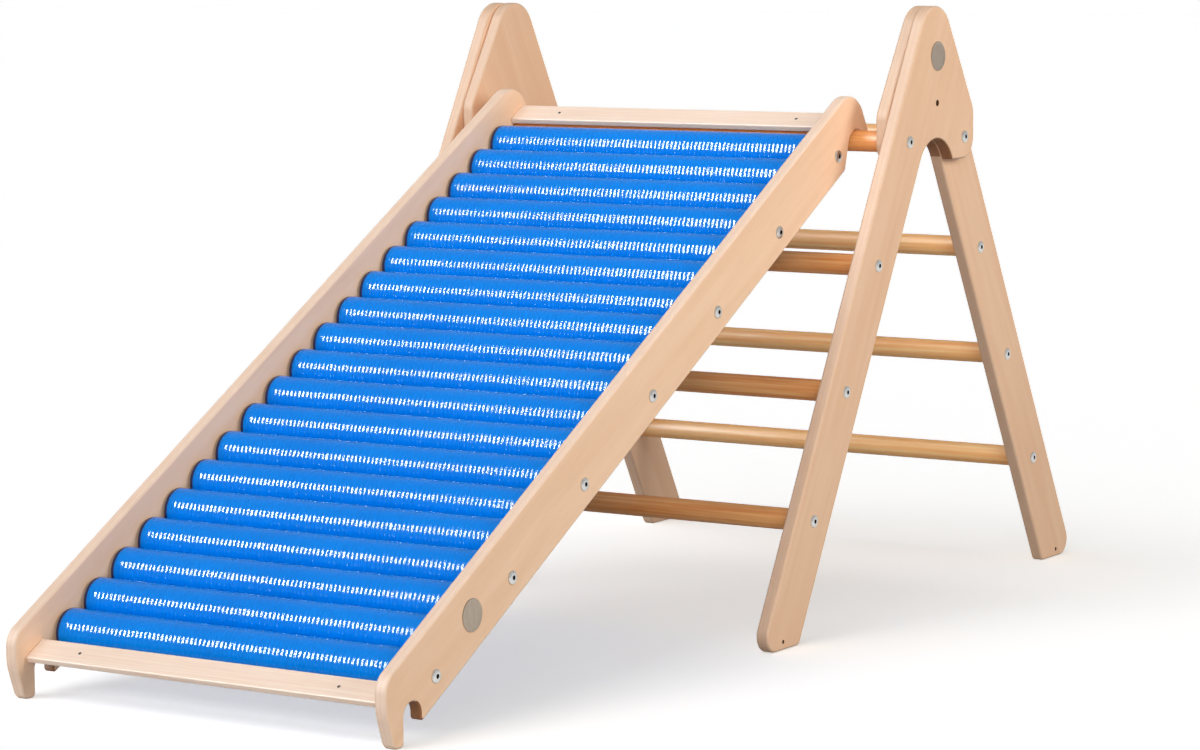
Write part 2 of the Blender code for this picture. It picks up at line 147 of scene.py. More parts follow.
# %% Two helpers for every material
def colour(code):
    """Turn an sRGB hex code into linear red, green, blue and alpha."""
    channels = [int(code[start:start + 2], 16) / 255 for start in (1, 3, 5)]
    linear = [c / 12.92 if c <= 0.04045 else ((c + 0.055) / 1.055) ** 2.4 for c in channels]
    return (*linear, 1.0)


def add_node(tree, kind, sockets, **settings):
    """Add a node. A socket's value is a constant, or the output it is linked to."""
    node = tree.nodes.new(kind)
    for name, value in settings.items():
        setattr(node, name, value)
    for socket, value in sockets.items():
        if isinstance(value, bpy.types.NodeSocket):
            tree.links.new(value, node.inputs[socket])
        else:
            node.inputs[socket].default_value = value
    return node


def new_material(name, **shader_sockets):
    """Start a material, and return it with its node tree and its Principled shader."""
    material = bpy.data.materials.new(name)
    material.use_nodes = True
    shader = material.node_tree.nodes["Principled BSDF"]
    for socket, value in shader_sockets.items():
        shader.inputs[socket.replace("_", " ")].default_value = value
    return material, material.node_tree, shader


# A Mix node has one set of sockets per data type, and these are the colour ones
MIX_FACTOR, MIX_A, MIX_B, MIX_RESULT = 0, 6, 7, 2

# %% [markdown]
# ## Studio
# The real background is white paper that is lit a little brighter than the toy. Only what the
# camera sees directly, or in a reflection, is made white: the floor still takes the shadows,
# and no extra lamp light falls on the wood.

# %% White floor that keeps shadows
FLOOR_SIZE = 60
# The blue rollers tint the shadow, and a little more blue is taken out of it to keep it grey
SHADOW_SHARE = (0.89, 0.92, 1.0)

floor_paper, tree, shader = new_material("studio_paper", Roughness=0.9)
shader.inputs["Specular IOR Level"].default_value = 0.0
shader.inputs["Base Color"].default_value = colour("#B9B9B9")
ray = add_node(tree, "ShaderNodeLightPath", {})
seen = add_node(tree, "ShaderNodeMath", {0: ray.outputs["Is Camera Ray"],
                                         1: ray.outputs["Is Glossy Ray"]}, operation="MAXIMUM")
shaded = add_node(tree, "ShaderNodeBsdfDiffuse", {"Color": (*SHADOW_SHARE, 1)})
glowing = add_node(tree, "ShaderNodeEmission", {"Strength": 1.0})
lifted = add_node(tree, "ShaderNodeAddShader", {0: shaded.outputs[0], 1: glowing.outputs[0]})
paper = add_node(tree, "ShaderNodeMixShader", {0: seen.outputs[0], 1: shader.outputs[0],
                                               2: lifted.outputs[0]})
tree.links.new(paper.outputs[0], tree.nodes["Material Output"].inputs["Surface"])

mesh = bpy.data.meshes.new("floor")
sheet = bmesh.new()
bmesh.ops.create_grid(sheet, x_segments=1, y_segments=1, size=FLOOR_SIZE / 2)
sheet.to_mesh(mesh)
sheet.free()
mesh.materials.append(floor_paper)
floor = bpy.data.objects.new("floor", mesh)
bpy.context.scene.collection.objects.link(floor)
floor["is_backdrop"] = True
print("floor in metres:", FLOOR_SIZE)

# %% White room
ROOM_LIGHT = 0.05
# The room that metal and gloss mirror is brighter by this than the one that lights the wood
MIRRORED_ROOM = 0.55

world = bpy.data.worlds.new("white_room")
world.use_nodes = True
bpy.context.scene.world = world
tree = world.node_tree
ray = add_node(tree, "ShaderNodeLightPath", {})
seen = add_node(tree, "ShaderNodeMath", {0: ray.outputs["Is Camera Ray"],
                                         1: ray.outputs["Is Transmission Ray"]},
                operation="MAXIMUM")
brightness = add_node(tree, "ShaderNodeMapRange", {"Value": seen.outputs[0], "To Min": ROOM_LIGHT,
                                                   "To Max": 1.0})
mirrored = add_node(tree, "ShaderNodeMath", {0: ray.outputs["Is Glossy Ray"], 1: MIRRORED_ROOM,
                                             2: brightness.outputs["Result"]},
                    operation="MULTIPLY_ADD")
background = tree.nodes["Background"]
background.inputs["Color"].default_value = colour("#FFFFFF")
tree.links.new(mirrored.outputs[0], background.inputs["Strength"])
print("room lights with", ROOM_LIGHT, "and is mirrored with", ROOM_LIGHT + MIRRORED_ROOM)

# %% [markdown]
# ## Lamps
# Three softboxes stand in front: a low one and the high key light on the left, and a low one on
# the right. Lamps near the toy would light the floor unevenly, so each is a sun lamp with a wide
# disc, which acts as a softbox that is very far away. Two upright rows of narrow lamps at the
# front left stand for bare tubes. They are only mirrored, and make the rows of white ticks on
# the rollers. The other lamps leave the floor out, so that no further shadow lies there:
# a fill from beside the camera reaches the rungs behind the slide, and a near softbox on the
# right lights the sides of the plates, more at the hub than at the feet. Two more near softboxes
# stand at the left and behind for the views from there, at the toy's own height, so that they
# add nothing to its top.

# %% Far softboxes
LAMP_DISTANCE = 3
TUBE_WIDTH, TUBE_LEVEL = 9, 0.60


def far_softbox(name, azimuth, elevation, width, level):
    """Hang a far lamp: azimuth 0 is in front (-Y), 90 on the right. Level 1 lights white to 1."""
    lamp = bpy.data.lights.new(name, "SUN")
    lamp.angle = math.radians(width)
    lamp.energy = level * math.pi
    thing = bpy.data.objects.new(name, lamp)
    bpy.context.scene.collection.objects.link(thing)
    turn, rise = math.radians(azimuth), math.radians(elevation)
    away = Vector((math.sin(turn) * math.cos(rise), -math.cos(turn) * math.cos(rise),
                   math.sin(rise)))
    thing.location = away * LAMP_DISTANCE
    thing.rotation_euler = away.to_track_quat("Z", "Y").to_euler()
    return thing


for name, azimuth, elevation, width, level in (("low_left", -30, 25, 40, 0.18),
                                               ("key", -22, 55, 45, 0.35),
                                               ("low_right", 20, 25, 40, 0.14),
                                               ("camera_fill", 36, 12, 30, 0.40)):
    softbox = far_softbox(name, azimuth, elevation, width, level)
    softbox.visible_glossy = False

# Each tube leans to the left with height, so that all of it is as far to the left of the toy.
# The right ends of the rollers mirror the first, longer one, and their left ends the second
for sideways, rises in ((-0.31, (18, 26, 34, 42, 50)), (-0.44, (22, 30, 38))):
    for elevation in rises:
        azimuth = math.degrees(math.asin(sideways / math.cos(math.radians(elevation))))
        tube = far_softbox(f"tube_{elevation}", azimuth, elevation, TUBE_WIDTH, TUBE_LEVEL)
        tube.visible_diffuse = False
print("far lamps:", [lamp.name for lamp in bpy.data.lights])

# %% Near softboxes, which leave the floor out
NEAR_SIZE = 1.2

all_but_floor = bpy.data.collections.new("all_but_floor")
all_but_floor.objects.link(floor)
all_but_floor.collection_objects[0].light_linking.link_state = "EXCLUDE"
bpy.data.objects["camera_fill"].light_linking.receiver_collection = all_but_floor

for name, place, aim_height, watts in (("right_softbox", (2.6, 0, 1.5), 1.2, 39),
                                       ("left_softbox", (-2.6, 0, 0.5), 0.4, 30),
                                       ("back_softbox", (0, 3.1, 0.5), 0.4, 40)):
    lamp = bpy.data.lights.new(name, "AREA")
    lamp.size = NEAR_SIZE
    lamp.energy = watts
    softbox = bpy.data.objects.new(name, lamp)
    bpy.context.scene.collection.objects.link(softbox)
    softbox.location = place
    softbox.rotation_euler = (
        softbox.location - Vector((0, 0, aim_height))).to_track_quat("Z", "Y").to_euler()
    softbox.visible_camera = False
    softbox.visible_glossy = False
    softbox.light_linking.receiver_collection = all_but_floor
print("lamps in all:", len(bpy.data.lights))

# %% Floor made up to white
floor_light = ROOM_LIGHT
for thing in bpy.data.objects:
    lights_floor = thing.light_linking.receiver_collection is None and thing.visible_diffuse
    if thing.type == "LIGHT" and lights_floor:
        floor_light += thing.data.energy / math.pi * thing.location.normalized().z
glowing.inputs["Color"].default_value = (*(1 - share * floor_light for share in SHADOW_SHARE), 1)
print("light on the floor:", round(floor_light, 3))

# %% [markdown]
# ## Birch plywood
# The plates and rails are birch plywood, cut out by a router and varnished. A face shows broad,
# soft figure along the grain, because the veneer is peeled off the log. An edge shows the plies
# in turn. Real plies are 1.4 mm thick, finer than a render from this distance shows, so they are
# drawn 2.7 mm thick and faint. An image could carry this, but a pattern worked out from a board's
# own coordinates never repeats. Each board carries them in an attribute called grain: depth
# through the board, distance along the grain, and distance across it.

# %% Plywood face
FIGURE_LENGTH, FIGURE_WIDTH = 0.260, 0.022
FIBRE_LENGTH, FIBRE_WIDTH = 0.030, 0.0016


def birch_face(name, dark, light):
    """Return a veneer between two tones, with darker fibres."""
    material, tree, shader = new_material(name, Roughness=0.52)
    shader.inputs["Specular IOR Level"].default_value = 0.25
    board = add_node(tree, "ShaderNodeAttribute", {}, attribute_name="grain")
    wide = add_node(tree, "ShaderNodeMapping", {"Vector": board.outputs["Vector"],
                    "Scale": (1, 1 / FIGURE_LENGTH, 1 / FIGURE_WIDTH)})
    figure = add_node(tree, "ShaderNodeTexNoise", {"Vector": wide.outputs[0], "Scale": 1.0,
                      "Detail": 3.0, "Roughness": 0.5, "Distortion": 0.6})
    fine = add_node(tree, "ShaderNodeMapping", {"Vector": board.outputs["Vector"],
                    "Scale": (1, 1 / FIBRE_LENGTH, 1 / FIBRE_WIDTH)})
    fibres = add_node(tree, "ShaderNodeTexNoise", {"Vector": fine.outputs[0], "Scale": 1.0,
                      "Detail": 2.0, "Roughness": 0.6})
    veneer = add_node(tree, "ShaderNodeMapRange", {"Value": figure.outputs["Fac"],
                      "From Min": 0.30, "From Max": 0.70})
    broad = add_node(tree, "ShaderNodeMix", {MIX_FACTOR: veneer.outputs["Result"],
                     MIX_A: colour(dark), MIX_B: colour(light)}, data_type="RGBA")
    fleck = add_node(tree, "ShaderNodeMapRange", {"Value": fibres.outputs["Fac"],
                     "From Min": 0.55, "From Max": 0.80, "To Max": 0.20})
    grained = add_node(tree, "ShaderNodeMix", {MIX_FACTOR: fleck.outputs["Result"],
                       MIX_A: broad.outputs[MIX_RESULT], MIX_B: colour("#D2A683")},
                       data_type="RGBA")
    tree.links.new(grained.outputs[MIX_RESULT], shader.inputs["Base Color"])
    relief = add_node(tree, "ShaderNodeBump", {"Height": fibres.outputs["Fac"], "Strength": 0.25,
                      "Distance": 0.0002})
    tree.links.new(relief.outputs["Normal"], shader.inputs["Normal"])
    return material


# %% Plywood edge
PLY = 0.00267


def birch_edge(name, light_tones, dark_tones):
    """Return plies that are light and dark in turn, each between two tones."""
    material, tree, shader = new_material(name, Roughness=0.60)
    shader.inputs["Specular IOR Level"].default_value = 0.25
    board = add_node(tree, "ShaderNodeAttribute", {}, attribute_name="grain")
    # One light and one dark ply make a period, and a Wave texture of scale s repeats every
    # pi / (10 s)
    plies = add_node(tree, "ShaderNodeTexWave", {"Vector": board.outputs["Vector"],
                     "Scale": math.pi / (10 * 2 * PLY), "Distortion": 0.0}, wave_type="BANDS",
                     bands_direction="X")
    sharp = add_node(tree, "ShaderNodeMapRange", {"Value": plies.outputs["Fac"],
                     "From Min": 0.25, "From Max": 0.75, "To Max": 0.25})
    pores = add_node(tree, "ShaderNodeTexNoise", {"Vector": board.outputs["Vector"], "Scale": 900.0,
                     "Detail": 2.0})
    streak = add_node(tree, "ShaderNodeTexNoise", {"Vector": board.outputs["Vector"], "Scale": 25.0,
                      "Detail": 2.0})
    light_ply = add_node(tree, "ShaderNodeMix", {MIX_FACTOR: streak.outputs["Fac"],
                         MIX_A: colour(light_tones[0]), MIX_B: colour(light_tones[1])},
                         data_type="RGBA")
    dark_ply = add_node(tree, "ShaderNodeMix", {MIX_FACTOR: pores.outputs["Fac"],
                        MIX_A: colour(dark_tones[0]), MIX_B: colour(dark_tones[1])},
                        data_type="RGBA")
    layered = add_node(tree, "ShaderNodeMix", {MIX_FACTOR: sharp.outputs["Result"],
                       MIX_A: light_ply.outputs[MIX_RESULT], MIX_B: dark_ply.outputs[MIX_RESULT]},
                       data_type="RGBA")
    tree.links.new(layered.outputs[MIX_RESULT], shader.inputs["Base Color"])
    relief = add_node(tree, "ShaderNodeBump", {"Height": pores.outputs["Fac"], "Strength": 0.3,
                      "Distance": 0.0002})
    tree.links.new(relief.outputs["Normal"], shader.inputs["Normal"])
    return material


# %% Painted shade on wood
def painted_shade_wood(name, dark, light):
    """Return a speckled brown, painted as the shade in deep holes and tight inside curves."""
    material, tree, shader = new_material(name, Roughness=0.7)
    place = add_node(tree, "ShaderNodeTexCoord", {})
    shade_speckle = add_node(tree, "ShaderNodeTexNoise", {"Vector": place.outputs["Object"],
                    "Scale": 700.0})
    shade_tone = add_node(tree, "ShaderNodeMix", {MIX_FACTOR: shade_speckle.outputs["Fac"],
                     MIX_A: colour(dark), MIX_B: colour(light)}, data_type="RGBA")
    tree.links.new(shade_tone.outputs[MIX_RESULT], shader.inputs["Base Color"])
    return material


# Painted shade: the walls of the deep narrow holes and the edges in the tight inside curves are
# painted a dark, speckled brown for the shade that falls there
hole_shade = painted_shade_wood("birch_hole_shade", "#2E1B10", "#6B4429")
curve_edge_shade = painted_shade_wood("birch_curve_edge_shade", "#7A4C2E", "#A06E48")

# Painted light and shade: the rails' birch is painted paler, as if lit, and the plates' birch
# warmer and darker, as if in shade, though both are one plywood
LIT_RAIL_BIRCH = [birch_face("lit_birch_face", "#F2C8A3", "#F9D3B1"),
              birch_edge("lit_birch_edge", ("#E6C6AD", "#EFD5C1"), ("#D7B192", "#E1C0A5")),
              hole_shade, curve_edge_shade]
SHADED_PLATE_BIRCH = [birch_face("shaded_birch_face", "#E4B894", "#EAC3A1"),
               birch_edge("shaded_birch_edge", ("#D1AB8C", "#D9B99E"), ("#C89E7C", "#D2AD8F")),
               hole_shade, curve_edge_shade]
print("birch:", [material.name for material in LIT_RAIL_BIRCH + SHADED_PLATE_BIRCH[:2]])

# %% [markdown]
# ## Finishing a piece
# Every piece ends the same way: normals outwards, smooth shading, materials, and a ride on the
# body that carries it. Splitting every edge would also keep flat faces flat, but weighted normals
# do it for a large face beside a rounded edge without a visible crease.

# %% One helper to finish a piece
SHARP_ANGLE = math.radians(35)


def finish_piece(shape, name, materials, body, nodes=()):
    """Make the object of a bmesh, hang it on its body and let it stand for CAD nodes."""
    bmesh.ops.recalc_face_normals(shape, faces=shape.faces)
    mesh = bpy.data.meshes.new(name)
    shape.to_mesh(mesh)
    shape.free()
    for material in materials:
        mesh.materials.append(material)
    mesh.shade_smooth()
    mesh.set_sharp_from_angle(angle=SHARP_ANGLE)
    piece = bpy.data.objects.new(name, mesh)
    bpy.context.scene.collection.objects.link(piece)
    shading = piece.modifiers.new("even_shading", "WEIGHTED_NORMAL")
    shading.keep_sharp = True
    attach(piece, body)
    if nodes:
        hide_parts(*nodes)
    return piece


# %% [markdown]
# ## Boards
# A routed board is an outline with rounded corners, pushed through the board's thickness, with
# both rims rounded over. Bevelled corners of a polygon aren't true arcs, so here a vertex is
# spun about each corner's centre instead, and the arcs are joined by straight edges.

# %% Rounded outline
ARC_STEP = 0.0022


def draw_outline(shape, corners):
    """Draw a closed outline through (y, z, radius) corners, in the plane x = 0."""
    places = [Vector((0, y, z)) for y, z, radius in corners]
    ends = []
    for index, (corner, (y, z, radius)) in enumerate(zip(places, corners)):
        to_before = (places[index - 1] - corner).normalized()
        to_after = (places[(index + 1) % len(places)] - corner).normalized()
        half = to_before.angle(to_after) / 2
        centre = corner + (to_before + to_after).normalized() * radius / math.sin(half)
        sweep = math.copysign(math.pi - 2 * half, -to_before.cross(to_after).x)
        steps = max(4, round(abs(sweep) * radius / ARC_STEP))
        first = shape.verts.new(corner + to_before * radius / math.tan(half))
        arc = bmesh.ops.spin(shape, geom=[first], cent=centre, axis=(1, 0, 0), angle=sweep,
                             steps=steps, use_merge=False)
        last = next(item for item in arc["geom_last"] if isinstance(item, bmesh.types.BMVert))
        ends.append((first, last))
    for index, (first, last) in enumerate(ends):
        shape.edges.new((ends[index - 1][1], first))
    # Where two arcs meet, the straight edge between them has no length
    bmesh.ops.remove_doubles(shape, verts=shape.verts, dist=1e-6)


# %% Board from an outline
RIM_RADIUS = 0.003
RIM_SEGMENTS = 4
# A face whose normal has more than this along X is flat, and one with a little less still shows
# the face veneer
FLAT, NEARLY_FLAT = 0.99, 0.97
# How far the figure moves along and across the grain for each metre between two boards
ALONG_SHIFT, ACROSS_SHIFT = 9, 7


def board_shape(corners, x_low, thickness, grain_angle, shaded_curve, holes=()):
    """Return a board with rounded rims and through holes, given as (y, z, radius).

    Edges inside the circle of the shaded curve, also a (y, z, radius), and the walls of the holes
    take painted shade.
    """
    shape = bmesh.new()
    draw_outline(shape, corners)
    bmesh.ops.contextual_create(shape, geom=shape.edges[:])
    pushed = bmesh.ops.extrude_face_region(shape, geom=shape.faces[:])
    moved = [item for item in pushed["geom"] if isinstance(item, bmesh.types.BMVert)]
    bmesh.ops.translate(shape, verts=moved, vec=(thickness, 0, 0))
    bmesh.ops.recalc_face_normals(shape, faces=shape.faces)
    rims = [edge for edge in shape.edges
            if any(abs(face.normal.x) > FLAT for face in edge.link_faces)]
    bmesh.ops.bevel(shape, geom=rims, offset=RIM_RADIUS, offset_type="OFFSET",
                    segments=RIM_SEGMENTS, profile=0.5, affect="EDGES", material=-1)
    if holes:
        drill(shape, holes, thickness)
    # Hole walls and the edges in the shaded curve take the materials of painted shade
    for face in shape.faces:
        middle_yz = face.calc_center_median().yz
        in_hole = any((middle_yz - Vector((y, z))).length < radius for y, z, radius in holes)
        y, z, radius = shaded_curve
        in_shaded_curve = (middle_yz - Vector((y, z))).length < radius
        edge_kind = 3 if in_shaded_curve else 1
        in_face = abs(face.normal.x) > NEARLY_FLAT
        face.material_index = 2 if in_hole else 0 if in_face else edge_kind
    bmesh.ops.translate(shape, verts=shape.verts, vec=(x_low, 0, 0))
    grain = shape.verts.layers.float_vector.new("grain")
    along = Vector((0, math.cos(grain_angle), math.sin(grain_angle)))
    across = Vector((0, -math.sin(grain_angle), math.cos(grain_angle)))
    for vertex in shape.verts:
        # A board's own place is added, so that no two boards show the same figure
        vertex[grain] = (vertex.co.x - x_low, vertex.co.dot(along) + x_low * ALONG_SHIFT,
                         vertex.co.dot(across) + x_low * ACROSS_SHIFT)
    return shape


# %% Drilled hole
HOLE_SIDES = 32


def drill(shape, holes, thickness):
    """Open (y, z, radius) round holes through the two flat faces of a board from x = 0 on."""
    rings = [[] for hole in holes]
    for x in (0, thickness):
        flat = [face for face in shape.faces if abs(face.normal.x) > FLAT
                and abs(face.calc_center_median().x - x) < 1e-6]
        around = max(flat, key=lambda face: face.calc_area())
        edges = around.edges[:]
        for ring, (y, z, radius) in zip(rings, holes):
            placing = Matrix.Translation((x, y, z)) @ Matrix.Rotation(math.radians(90), 4, "Y")
            made = bmesh.ops.create_circle(shape, segments=HOLE_SIDES, radius=radius,
                                           matrix=placing)
            # A dict keeps the edges in order, and a set wouldn't, so every run fills alike
            circle = list(dict.fromkeys(edge for vertex in made["verts"]
                                        for edge in vertex.link_edges))
            ring.extend(circle)
            edges.extend(circle)
        # The face is filled once, around all its holes
        bmesh.ops.delete(shape, geom=[around], context="FACES_ONLY")
        bmesh.ops.triangle_fill(shape, use_beauty=True, use_dissolve=False, edges=edges)
    for ring in rings:
        bmesh.ops.bridge_loops(shape, edges=ring)


# %% [markdown]
# ## Triangle plates
# Each plate is a leg and a hub in one. The front pair is outside and the rear pair, its mirror
# image, is inside, so the slide stands between two double walls. All sizes come from the
# photograph's scale, and places from the top rungs.

# %% Plate outline
PLATE = 0.016
LEG_WIDTH = 0.078
TOE_RADIUS, HEEL_RADIUS = 0.020, 0.008
ARCH_RADIUS = 0.047
# The lobe is rounded about the rear top rung, and ends this far over it
LOBE, LOBE_TOP, LOBE_TIP_RADIUS = 0.027, 0.034, 0.004
CREST_RISE, CREST_RADIUS = 0.205, 0.042
# The strip of painted shade reaches this far past the arc of the arch
SHADE_REACH = 0.0008

leg = (middle("front_rung_4") - FRONT_TOP).normalized()
lean = math.atan2(-leg.y, -leg.z)
print("legs lean by degrees:", round(math.degrees(lean), 2))


def on_leg_edge(side, z):
    """Return y on an edge of the front leg at a height: side -1 is outside, 1 is inside."""
    y = FRONT_TOP.y - (FRONT_TOP.z - z) * math.tan(lean)
    return y + side * LEG_WIDTH / 2 / math.cos(lean)


inner_reach = HUB.y - on_leg_edge(1, FRONT_TOP.z)
arch_z = FRONT_TOP.z + inner_reach / math.tan(lean)
lobe_y = REAR_TOP.y + LOBE
lobe_low = REAR_TOP.z - LOBE
crest_z = FRONT_TOP.z + CREST_RISE
plate_corners = [
    (on_leg_edge(-1, 0), 0, TOE_RADIUS),
    (on_leg_edge(1, 0), 0, HEEL_RADIUS),
    (HUB.y, arch_z, ARCH_RADIUS),
    (2 * HUB.y - on_leg_edge(1, lobe_low), lobe_low, LOBE_TIP_RADIUS),
    (lobe_y, lobe_low, LOBE),
    (lobe_y, FRONT_TOP.z + LOBE_TOP, LOBE),
    (on_leg_edge(-1, crest_z), crest_z, CREST_RADIUS),
]
# The circle in which the arch's edges take painted shade
arch = (HUB.y, arch_z - ARCH_RADIUS / math.sin(lean), ARCH_RADIUS + SHADE_REACH)

# %% Four plates
HUB_HOLE_RISE, HUB_HOLE_RADIUS = 0.0446, 0.004
FOOT_HOLE_HEIGHT, FOOT_HOLE_RADIUS = 0.010, 0.0025
hub_hole = (HUB.y, FRONT_TOP.z + HUB_HOLE_RISE, HUB_HOLE_RADIUS)
foot_hole_y = FRONT_TOP.y - (FRONT_TOP.z - FOOT_HOLE_HEIGHT) * math.tan(lean)

for ladder in ("front", "rear"):
    mirrored = ladder == "rear"
    corners = [(2 * HUB.y - y if mirrored else y, z, radius) for y, z, radius in plate_corners]
    hole_y = 2 * HUB.y - foot_hole_y if mirrored else foot_hole_y
    for side in ("left", "right"):
        node = f"{ladder}_leg_plate_{side}"
        low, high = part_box(node)
        leaning = math.pi / 2 + lean if mirrored else math.pi / 2 - lean
        plate = board_shape(corners, low.x, PLATE, leaning, arch,
                            holes=(hub_hole, (hole_y, FOOT_HOLE_HEIGHT, FOOT_HOLE_RADIUS)))
        piece = finish_piece(plate, f"{node}_board", SHADED_PLATE_BIRCH, "triangle",
                             [node])
        own_low = min(vertex.co.z for vertex in piece.data.vertices)
        own_high = max(vertex.co.z for vertex in piece.data.vertices)
        print(node, "CAD", round(low.z, 4), round(high.z, 4), "own", round(own_low, 4),
              round(own_high, 4), "faces", len(piece.data.polygons))

# %% [markdown]
# ## Slide rails
# A rail stands on a foot with an upright notch, runs up beside the rollers and ends in a hook,
# whose ceiling lies on the front top rung. Its corners are worked out along the slope and
# square over it, from the row of axles.

# %% Rail outline
RAIL = 0.015
RAIL_ABOVE, RAIL_BELOW = 0.052, 0.026
TOE_RISE, TOE_SET_BACK = 0.040, 0.014
TOE_TOP_RADIUS, TOE_LOW_RADIUS = 0.055, 0.010
# NOTCH is half its width, and the radius of its round top
NOTCH, NOTCH_HEIGHT, NOTCH_SET_BACK = 0.0147, 0.045, 0.0325
HEEL_EASED, NOTCH_EASED, BELLY_RADIUS = 0.005, 0.004, 0.006
KNEE_RADIUS = 0.025
CORNER_RADIUS = 0.008
# The rung's centre lies a little under the row of axles, and the hook's ceiling over the rung
HOOK_BEYOND, RUNG_DROP, HOOK_GAP = 0.050, 0.0097, 0.0003
ARM, ARM_DROP, SHOULDER_RADIUS = 0.0175, 0.0105, 0.040
FLARE = 0.012

foot_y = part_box("slide_rail_right")[0].y
notch_y = foot_y + NOTCH_SET_BACK
slide_length = (LAST_AXLE - FIRST_AXLE).length
hook_along = slide_length + HOOK_BEYOND
ceiling = RUNG_RADIUS + HOOK_GAP - RUNG_DROP
arm_low = -RUNG_DROP - ARM_DROP


def on_slope(along, over):
    """Return (y, z) at a distance along the row of axles and square over it."""
    place = FIRST_AXLE + ALONG_SLIDE * along + OVER_SLIDE * over
    return place.y, place.z


def over_upright(y, over):
    """Return the height at which the line at a distance over the axles passes a y."""
    start_y, start_z = on_slope(0, over)
    return start_z + (y - start_y) * math.tan(slope)


flare_top = hook_along - FLARE
rail_corners = [
    (foot_y, TOE_RISE, TOE_TOP_RADIUS),
    (foot_y + TOE_SET_BACK, 0, TOE_LOW_RADIUS),
    (notch_y, 0, HEEL_EASED),
    (notch_y, NOTCH_HEIGHT, NOTCH),
    (notch_y + 2 * NOTCH, NOTCH_HEIGHT, NOTCH),
    (notch_y + 2 * NOTCH, over_upright(notch_y + 2 * NOTCH, -RAIL_BELOW), NOTCH_EASED),
    (*on_slope(flare_top - ceiling - RAIL_BELOW, -RAIL_BELOW), BELLY_RADIUS),
    (*on_slope(flare_top, ceiling), NOTCH),
    (*on_slope(hook_along + NOTCH, ceiling), NOTCH),
    (*on_slope(hook_along + NOTCH, arm_low), CORNER_RADIUS),
    (*on_slope(hook_along + NOTCH + ARM, arm_low), CORNER_RADIUS),
    (*on_slope(hook_along + NOTCH + ARM, RAIL_ABOVE), SHOULDER_RADIUS),
    (foot_y, over_upright(foot_y, RAIL_ABOVE), KNEE_RADIUS),
]
# A circle that holds the round top of the notch and a part of its walls, whose edges take painted
# shade
notch = (notch_y + NOTCH, NOTCH_HEIGHT - NOTCH * 1.5, NOTCH * 1.56)

# %% Two rails
for side in ("left", "right"):
    node = f"slide_rail_{side}"
    low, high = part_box(node)
    rail = board_shape(rail_corners, low.x, RAIL, slope, notch)
    piece = finish_piece(rail, f"{node}_board", LIT_RAIL_BIRCH, "slide", [node])
    ys = [vertex.co.y for vertex in piece.data.vertices]
    print(node, "CAD", round(low.y, 4), round(high.y, 4), "own", round(min(ys), 4),
          round(max(ys), 4), "faces", len(piece.data.polygons))

# %% [markdown]
# ## Rungs
# The rungs are turned from softwood and keep its warm, streaky grain along their length. A
# profile could be spun for them, but a cylinder from create_cone has the right shape at once, and
# a small bevel breaks its end edges.

# %% Pine
STREAK_LENGTH, STREAK_WIDTH = 0.180, 0.0045


def turned_pine(name, dark, light):
    """Return a streaky pine between two tones."""
    material, tree, shader = new_material(name, Roughness=0.50)
    shader.inputs["Specular IOR Level"].default_value = 0.3
    place = add_node(tree, "ShaderNodeTexCoord", {})
    stretched = add_node(tree, "ShaderNodeMapping", {"Vector": place.outputs["Object"],
                         "Scale": (1 / STREAK_LENGTH, 1 / STREAK_WIDTH, 1 / STREAK_WIDTH)})
    streaks = add_node(tree, "ShaderNodeTexNoise", {"Vector": stretched.outputs[0],
                       "Scale": 1.0, "Detail": 3.0, "Roughness": 0.55, "Distortion": 0.4})
    tone = add_node(tree, "ShaderNodeMapRange", {"Value": streaks.outputs["Fac"],
                    "From Min": 0.30, "From Max": 0.72})
    grained = add_node(tree, "ShaderNodeMix", {MIX_FACTOR: tone.outputs["Result"],
                       MIX_A: colour(dark), MIX_B: colour(light)}, data_type="RGBA")
    tree.links.new(grained.outputs[MIX_RESULT], shader.inputs["Base Color"])
    relief = add_node(tree, "ShaderNodeBump", {"Height": streaks.outputs["Fac"],
                      "Strength": 0.3, "Distance": 0.0004})
    tree.links.new(relief.outputs["Normal"], shader.inputs["Normal"])
    return material


# Painted light and shade: the rear rungs' pine is painted paler, as if lit, and the front rungs'
# pine darker and more orange, as if in the slide's shade
LIT_AND_SHADED_PINE = {"front": turned_pine("shaded_pine", "#DE8440", "#F5B976"),
        "rear": turned_pine("lit_pine", "#F7B069", "#FFD597")}
print("streaks in mm:", STREAK_LENGTH * 1000, "by", STREAK_WIDTH * 1000)

# %% Eight rungs
RUNG_SIDES = 48
RUNG_EASED = 0.0012
ALONG_X = Matrix.Rotation(math.radians(90), 4, "Y")

for ladder in ("front", "rear"):
    for number in range(1, 5):
        node = f"{ladder}_rung_{number}"
        low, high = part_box(node)
        bar = bmesh.new()
        bmesh.ops.create_cone(bar, cap_ends=True, segments=RUNG_SIDES, radius1=RUNG_RADIUS,
                              radius2=RUNG_RADIUS, depth=high.x - low.x,
                              matrix=Matrix.Translation(middle(node)) @ ALONG_X)
        rims = [edge for edge in bar.edges if abs(edge.calc_face_angle() - math.pi / 2) < 0.1]
        bmesh.ops.bevel(bar, geom=rims, offset=RUNG_EASED, offset_type="OFFSET", segments=2,
                        profile=0.5, affect="EDGES", material=-1)
        finish_piece(bar, f"{node}_bar", [LIT_AND_SHADED_PINE[ladder]], "triangle", [node])
        print(node, "length in mm:", round((high.x - low.x) * 1000, 1))

# %% [markdown]
# ## Slats
# One flat beech slat closes the slide at the bottom and one at the top. They are pale and
# straight grained, with eased edges, and small screws hold them. A cube that is scaled and then
# bevelled keeps the easing even, which scaling a bevelled cube would not.

# %% Beech
STRAIGHT_LENGTH, STRAIGHT_WIDTH = 0.120, 0.0022

